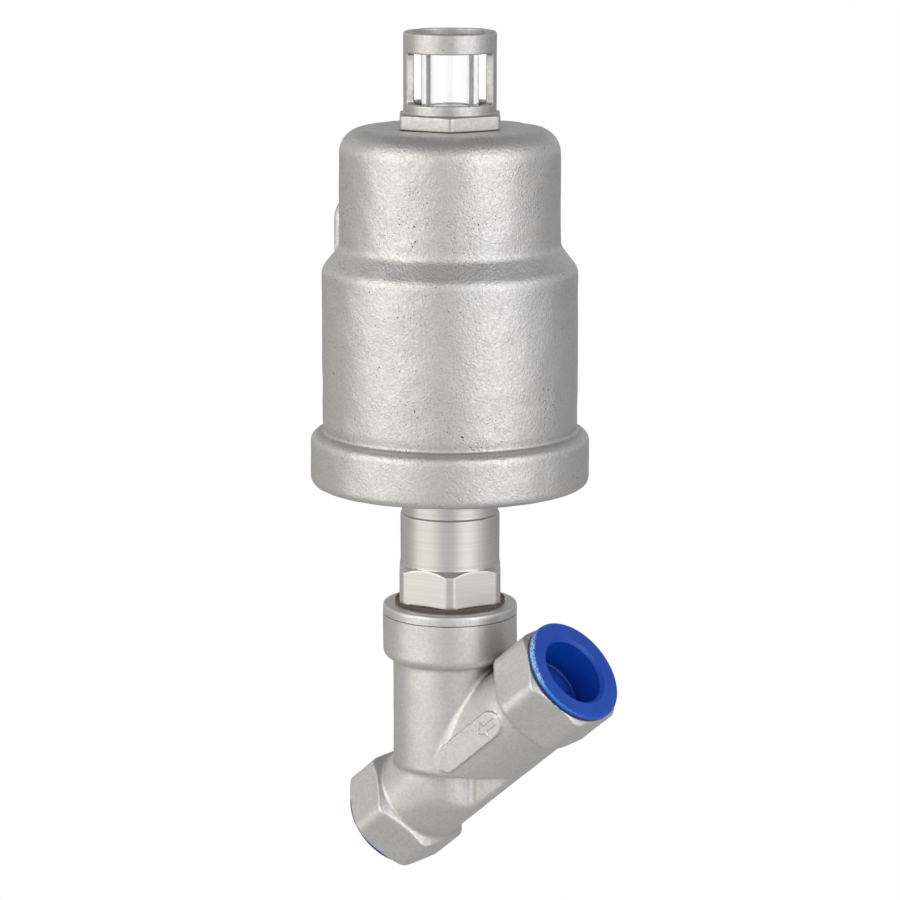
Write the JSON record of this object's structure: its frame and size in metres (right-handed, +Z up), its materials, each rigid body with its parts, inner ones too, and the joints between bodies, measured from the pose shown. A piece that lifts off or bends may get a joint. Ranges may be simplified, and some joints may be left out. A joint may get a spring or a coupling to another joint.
{
  "type": "pneumatic angle seat valve",
  "caption": "Angle-seat process valve with Y body, threaded pipe ports and a spring-return piston actuator that lifts the stem, with a windowed position indicator.",
  "frame": {"origin": "the crossing of the stem axis and the pipe line, inside the valve body", "axes": "+Z up the stem towards the position indicator, +X leaning towards the inlet port, XZ the plane that holds the stem and the pipe line"},
  "size_m": [0.0813, 0.0678, 0.2082],
  "materials": {
    "cast_stainless": "investment cast, shot blasted, satin",
    "turned_stainless": "turned, finely polished",
    "spring_steel": "drawn wire",
    "piston_aluminium": "turned",
    "brass": "turned",
    "ptfe": "waxy white",
    "seal_rubber": "matt",
    "clear_window": "clear moulded polycarbonate",
    "indicator_plastic": "moulded",
    "blue_plastic": "soft moulded polyethylene, satin"
  },
  "bodies": {
    "valve": {"valve_body": "cast_stainless", "bonnet": "turned_stainless", "body_gasket": "ptfe", "wiper_ring": "ptfe", "stem_bush": "ptfe", "packing_washer": "turned_stainless", "packing_spring": "spring_steel", "pressure_ring": "turned_stainless", "lower_packing_adapter": "ptfe", "packing_rings": "ptfe", "upper_packing_adapter": "ptfe", "gland_nut": "brass", "stem_o_ring": "seal_rubber", "actuator_housing": "cast_stainless", "base_plate": "turned_stainless", "base_o_ring": "seal_rubber", "snap_ring": "spring_steel", "return_spring": "spring_steel", "spring_guide": "turned_stainless", "indicator_guard": "cast_stainless", "indicator_window": "clear_window", "indicator_o_ring": "seal_rubber"},
    "stem_set": {"stem": "turned_stainless", "plug_disc": "turned_stainless", "disc_pin": "turned_stainless", "seat_seal": "ptfe", "seal_retainer": "turned_stainless", "seal_nut": "turned_stainless", "piston": "piston_aluminium", "piston_hub_o_ring": "seal_rubber", "piston_seal": "seal_rubber", "piston_guide_ring": "ptfe", "piston_washer": "turned_stainless", "piston_nut": "turned_stainless", "indicator_rod": "turned_stainless", "indicator_puck": "indicator_plastic"},
    "inlet_plug": {"inlet_plug": "blue_plastic"},
    "outlet_plug": {"outlet_plug": "blue_plastic"}
  },
  "joints": [
    {"name": "stem_lift", "type": "slide", "parent": "valve", "child": "stem_set", "axis": [0, 0, 1], "range_m": [0, 0.011], "stiffness_N_per_m": 9100, "springref_m": -0.0005, "deforming": ["return_spring"]},
    {"name": "inlet_plug_pull", "type": "slide", "parent": "valve", "child": "inlet_plug", "axis": [0.766, 0, 0.6428], "range_m": [0, 0.02]},
    {"name": "outlet_plug_pull", "type": "slide", "parent": "valve", "child": "outlet_plug", "axis": [-0.766, 0, -0.6428], "range_m": [0, 0.02]}
  ]
}
